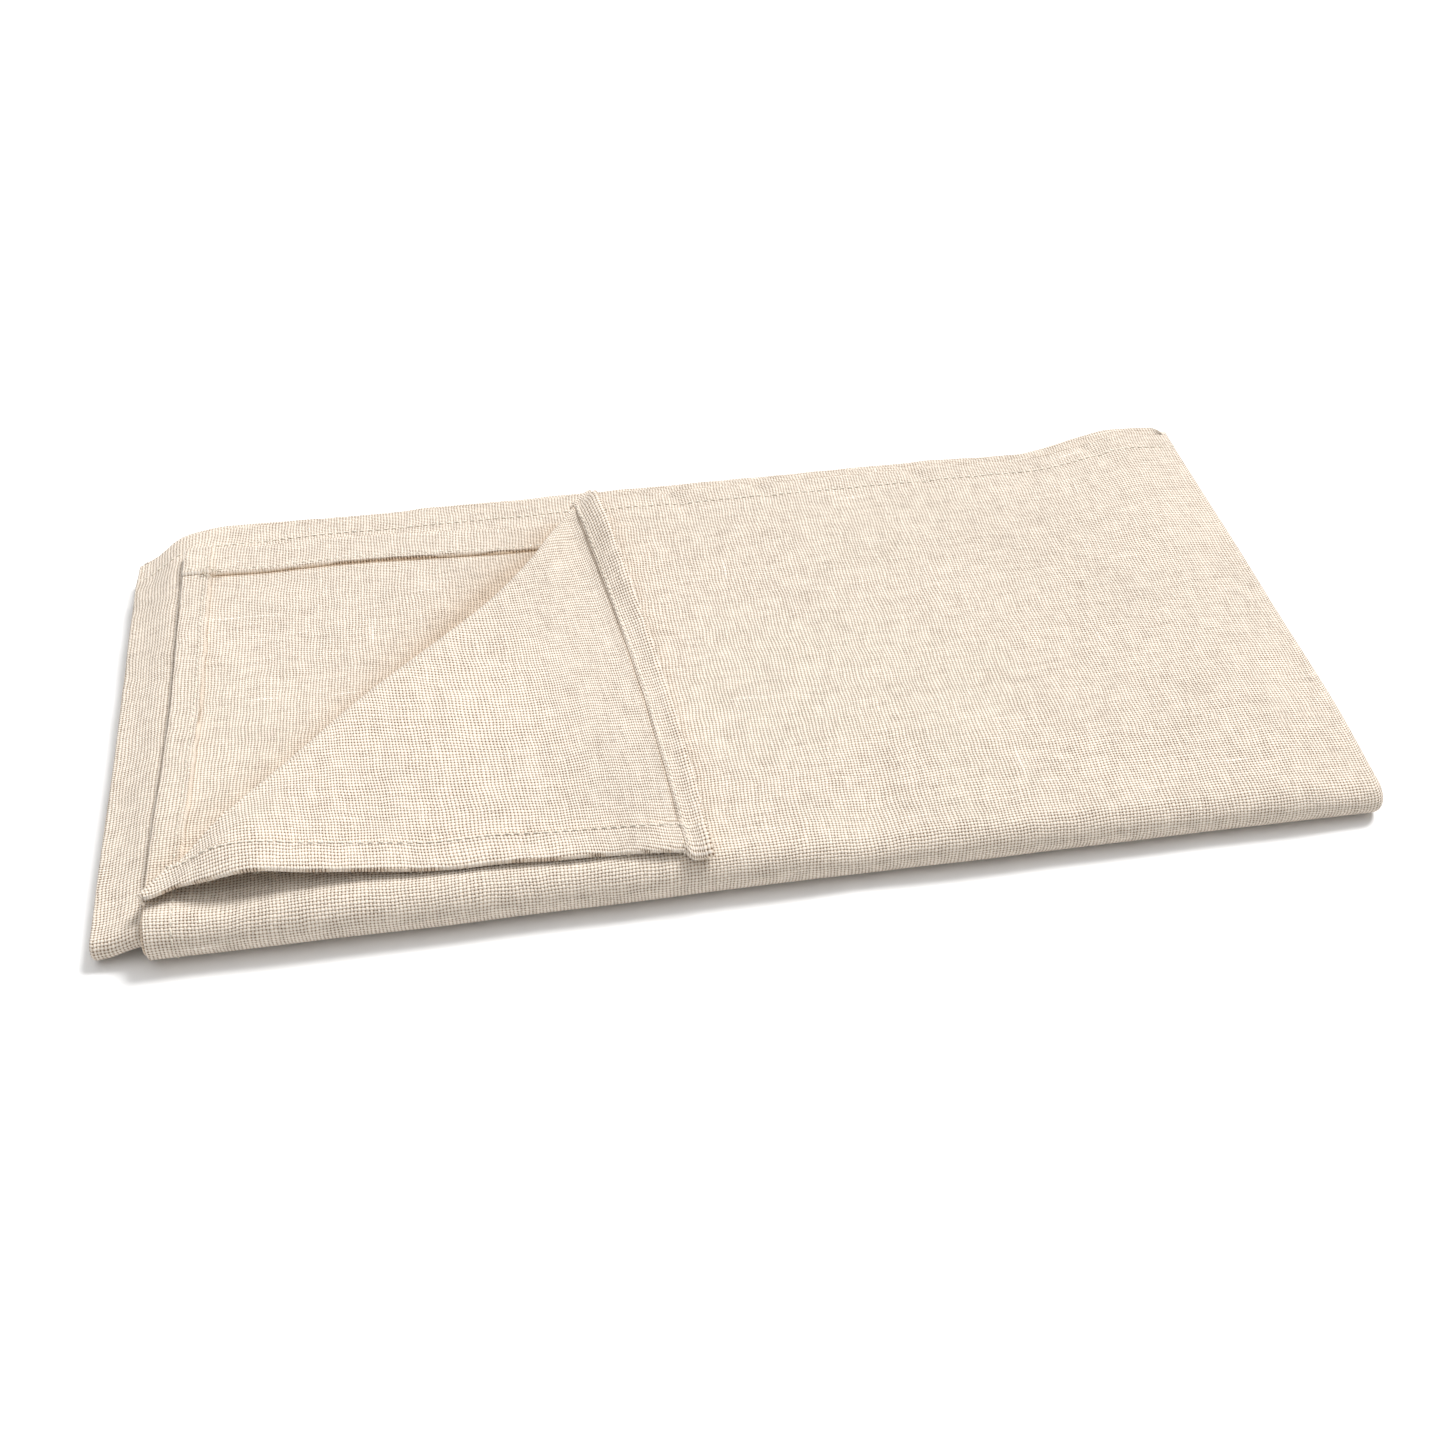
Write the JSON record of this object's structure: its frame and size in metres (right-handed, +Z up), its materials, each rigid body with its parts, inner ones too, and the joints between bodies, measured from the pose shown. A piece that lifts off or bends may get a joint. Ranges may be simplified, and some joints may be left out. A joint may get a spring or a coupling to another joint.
{
  "type": "table runner",
  "caption": "Folded cotton table runner with hemmed edges and one turned-back corner; opens along its lengthwise fold.",
  "frame": {"origin": "middle of the folded packet's underside, on the surface it lies on", "axes": "+X along the packet towards its quarter-length folds, +Y from the front fold to the hemmed back edges, +Z up"},
  "size_m": [0.383, 0.205, 0.0251],
  "materials": {
    "cloth": "matte coarse plain weave, natural off-white",
    "hem": "matte coarse plain weave, turned and pressed",
    "thread": "matte sewing thread, off-white"
  },
  "bodies": {
    "lower_half": {"front_half_length_corner": "cloth", "front_inner_fold": "cloth", "front_nested_quarter_corner": "cloth", "front_outer_fold": "cloth", "front_outer_quarter_corner": "cloth", "front_second_fold": "cloth", "front_third_fold": "cloth", "lower_half_length_fold": "cloth", "lower_inner_back_hem": "hem", "lower_inner_back_stitching": "thread", "lower_inner_ply": "cloth", "lower_nested_quarter_fold": "cloth", "lower_outer_back_hem": "hem", "lower_outer_back_stitching": "thread", "lower_outer_end_hem": "hem", "lower_outer_end_stitching": "thread", "lower_outer_ply": "cloth", "lower_outer_quarter_fold": "cloth", "lower_second_back_hem": "hem", "lower_second_back_stitching": "thread", "lower_second_end_hem": "hem", "lower_second_end_stitching": "thread", "lower_second_ply": "cloth", "lower_third_back_hem": "hem", "lower_third_back_stitching": "thread", "lower_third_ply": "cloth"},
    "upper_half": {"upper_half_length_fold": "cloth", "upper_inner_back_hem": "hem", "upper_inner_back_stitching": "thread", "upper_inner_ply": "cloth", "upper_nested_quarter_fold": "cloth", "upper_outer_back_hem": "hem", "upper_outer_back_stitching": "thread", "upper_outer_end_hem": "hem", "upper_outer_end_stitching": "thread", "upper_outer_ply": "cloth", "upper_outer_quarter_fold": "cloth", "upper_second_back_hem": "hem", "upper_second_back_stitching": "thread", "upper_second_end_hem": "hem", "upper_second_end_stitching": "thread", "upper_second_ply": "cloth", "upper_third_back_hem": "hem", "upper_third_back_stitching": "thread", "upper_third_ply": "cloth", "corner_crease": "cloth"},
    "turned_corner": {"corner_back_hem": "hem", "corner_back_stitching": "thread", "corner_end_hem": "hem", "corner_end_stitching": "thread", "corner_ply": "cloth"}
  },
  "joints": [
    {"name": "lengthwise_fold", "type": "hinge", "parent": "lower_half", "child": "upper_half", "pos_m": [0, -0.09588, 0.0094], "axis": [1, 0, 0], "range_deg": [0, 180], "deforming": ["front_half_length_corner", "front_inner_fold", "front_nested_quarter_corner", "front_outer_fold", "front_outer_quarter_corner", "front_second_fold", "front_third_fold"]},
    {"name": "corner_turn", "type": "hinge", "parent": "upper_half", "child": "turned_corner", "pos_m": [-0.175, -0.08588, 0.0184], "axis": [-0.6452, -0.7639, -0.0135], "range_deg": [0, 180], "deforming": ["corner_crease"]}
  ]
}
